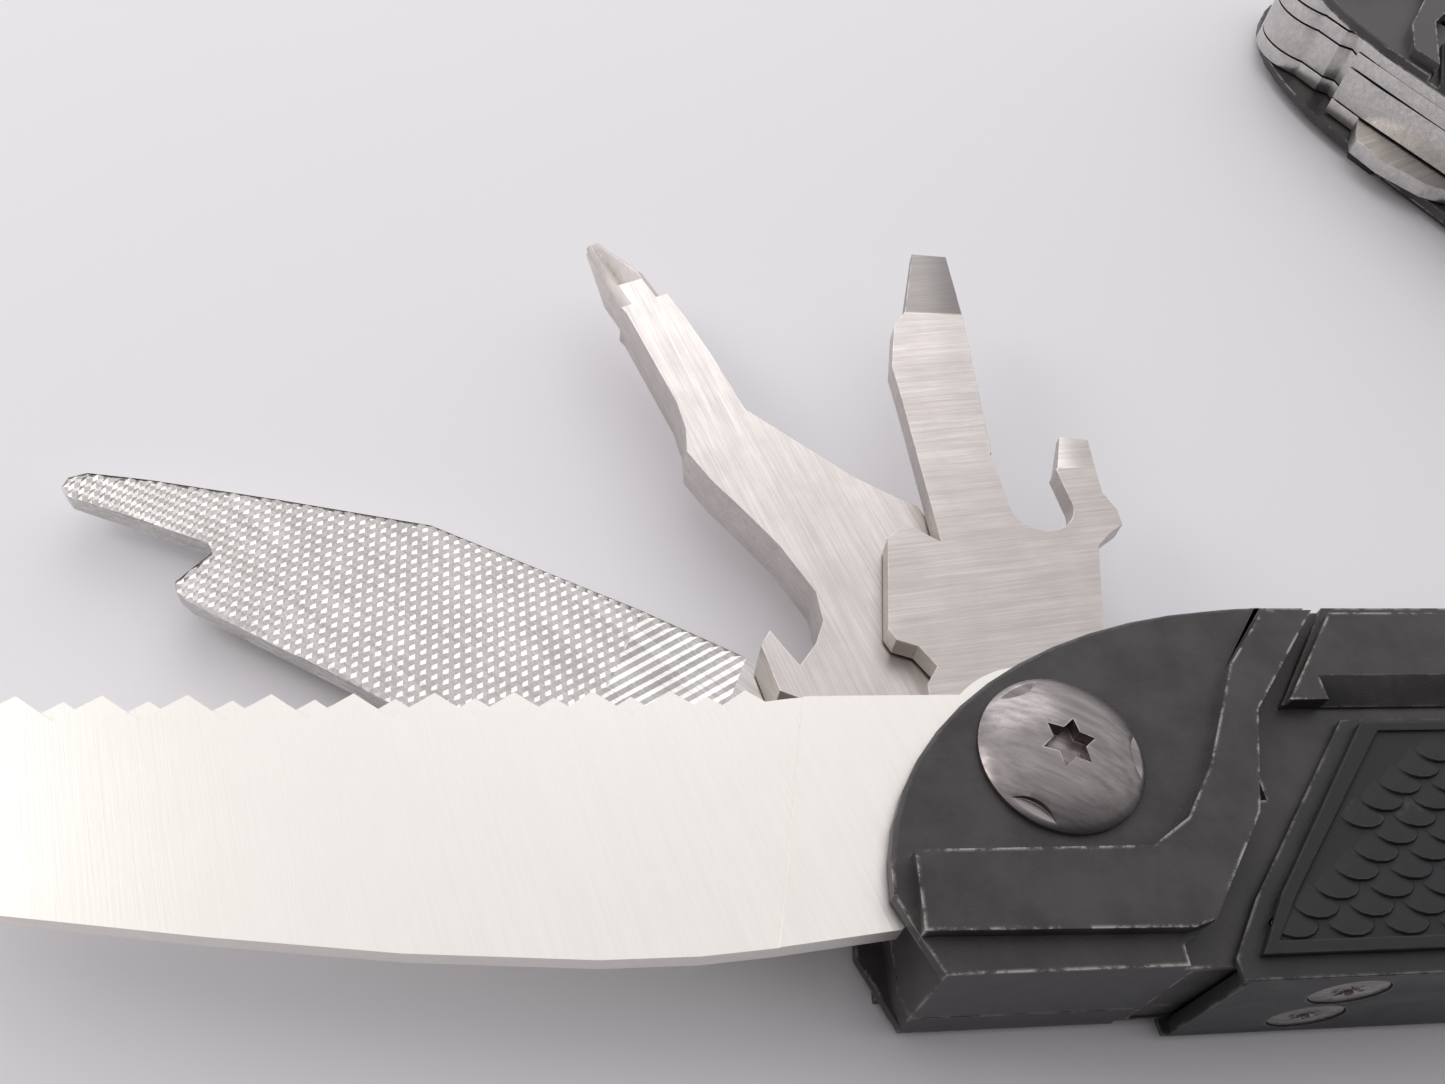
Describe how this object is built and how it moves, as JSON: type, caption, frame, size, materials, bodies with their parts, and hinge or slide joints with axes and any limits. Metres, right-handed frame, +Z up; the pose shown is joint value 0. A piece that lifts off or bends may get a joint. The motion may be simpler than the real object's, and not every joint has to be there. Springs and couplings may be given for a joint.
{
  "type": "folding multi tool",
  "caption": "Folding plier multi tool with two handles: saw, file, cross and flat drivers fan out of one handle, blades rest in the other.",
  "frame": {"origin": "foot of handle A's implement pivot, on the plane the tool lies on", "axes": "+X along handle A from the implement pivot to the plier hinge, +Y to the handle's open side, +Z up out of the broad side"},
  "size_m": [0.2142, 0.1317, 0.0143],
  "materials": {
    "black_paint": "worn satin black coating over steel",
    "black_slider": "worn satin black coating",
    "grip_rubber": "moulded scale texture",
    "ground_steel": "ground, fine straight grain",
    "file_steel": "double-cut file teeth",
    "jaw_steel": "dark satin",
    "screw_steel": "burnished",
    "spring_steel": "satin",
    "bronze": "plain"
  },
  "bodies": {
    "handle_a": {"a_upper_shell": "black_paint", "a_lower_shell": "black_paint", "a_pivot_screw": "screw_steel", "a_pivot_nut": "screw_steel", "a_pivot_washers": "bronze", "a_lock_pin": "screw_steel", "a_lock_spring": "spring_steel", "a_hinge_pin": "screw_steel"},
    "slider_a": {"a_slider": "black_slider", "a_grip_upper": "grip_rubber", "a_grip_lower": "grip_rubber", "a_slider_screws": "screw_steel", "a_release_block": "spring_steel"},
    "lock_a": {"a_lock_bar": "spring_steel"},
    "saw": {"saw": "ground_steel"},
    "flat_driver": {"flat_driver": "ground_steel"},
    "cross_driver": {"cross_driver": "ground_steel"},
    "file": {"file": "file_steel"},
    "jaw_a": {"jaw_a": "jaw_steel", "jaw_bolt": "screw_steel", "jaw_nut": "screw_steel"},
    "jaw_b": {"jaw_b": "jaw_steel"},
    "handle_b": {"b_upper_shell": "black_paint", "b_lower_shell": "black_paint", "b_pivot_screw": "screw_steel", "b_pivot_nut": "screw_steel", "b_pivot_washers": "bronze", "b_lock_pin": "screw_steel", "b_lock_spring": "spring_steel", "b_hinge_pin": "screw_steel"},
    "slider_b": {"b_slider": "black_slider", "b_grip_upper": "grip_rubber", "b_grip_lower": "grip_rubber", "b_slider_screws": "screw_steel", "b_release_block": "spring_steel"},
    "lock_b": {"b_lock_bar": "spring_steel"},
    "knife_blade": {"knife_blade": "ground_steel"},
    "serrated_blade": {"serrated_blade": "ground_steel"},
    "chisel": {"chisel": "ground_steel"},
    "awl": {"awl": "ground_steel"}
  },
  "joints": [
    {"name": "saw_pivot", "type": "hinge", "parent": "handle_a", "child": "saw", "pos_m": [0, 0, 0.00675], "axis": [0, 0, 1], "range_deg": [-180, 0]},
    {"name": "flat_driver_pivot", "type": "hinge", "parent": "handle_a", "child": "flat_driver", "pos_m": [0, 0, 0.00675], "axis": [0, 0, 1], "range_deg": [-90, 90]},
    {"name": "cross_driver_pivot", "type": "hinge", "parent": "handle_a", "child": "cross_driver", "pos_m": [0, 0, 0.00675], "axis": [0, 0, 1], "range_deg": [-116, 64]},
    {"name": "file_pivot", "type": "hinge", "parent": "handle_a", "child": "file", "pos_m": [0, 0, 0.00675], "axis": [0, 0, 1], "range_deg": [-157, 23]},
    {"name": "slider_a_slide", "type": "slide", "parent": "handle_a", "child": "slider_a", "axis": [-1, 0, 0], "range_m": [0, 0.002], "stiffness_N_per_m": 150, "springref_m": -0.004},
    {"name": "lock_a_rock", "type": "hinge", "parent": "handle_a", "child": "lock_a", "pos_m": [0.002, -0.0096, 0.00675], "axis": [0, 0, 1], "range_deg": [0, 3.1]},
    {"name": "fold_a", "type": "hinge", "parent": "handle_a", "child": "jaw_a", "pos_m": [0.087, -0.00075, 0.00675], "axis": [0, 0, -1], "range_deg": [-30, 150]},
    {"name": "plier_pivot", "type": "hinge", "parent": "jaw_a", "child": "jaw_b", "pos_m": [0.1055, 0.00329, 0.00675], "axis": [0, 0, 1], "range_deg": [-55, 0]},
    {"name": "fold_b", "type": "hinge", "parent": "jaw_b", "child": "handle_b", "pos_m": [0.09975, 0.02133, 0.00675], "axis": [0, 0, -1], "range_deg": [-34, 146]},
    {"name": "knife_blade_pivot", "type": "hinge", "parent": "handle_b", "child": "knife_blade", "pos_m": [0.06094, 0.0992, 0.00675], "axis": [0, 0, -1], "range_deg": [0, 180]},
    {"name": "serrated_blade_pivot", "type": "hinge", "parent": "handle_b", "child": "serrated_blade", "pos_m": [0.06094, 0.0992, 0.00675], "axis": [0, 0, -1], "range_deg": [0, 180]},
    {"name": "chisel_pivot", "type": "hinge", "parent": "handle_b", "child": "chisel", "pos_m": [0.06094, 0.0992, 0.00675], "axis": [0, 0, -1], "range_deg": [0, 180]},
    {"name": "awl_pivot", "type": "hinge", "parent": "handle_b", "child": "awl", "pos_m": [0.06094, 0.0992, 0.00675], "axis": [0, 0, -1], "range_deg": [0, 180]},
    {"name": "slider_b_slide", "type": "slide", "parent": "handle_b", "child": "slider_b", "axis": [-0.4384, 0.8988, 0], "range_m": [0, 0.002], "stiffness_N_per_m": 150, "springref_m": -0.004},
    {"name": "lock_b_rock", "type": "hinge", "parent": "handle_b", "child": "lock_b", "pos_m": [0.07044, 0.10161, 0.00675], "axis": [0, 0, -1], "range_deg": [0, 3.1]}
  ],
  "couplings": [
    {"joint": "lock_a_rock", "follows": "slider_a_slide", "rad_per_m": 26.18},
    {"joint": "lock_b_rock", "follows": "slider_b_slide", "rad_per_m": 26.18}
  ]
}
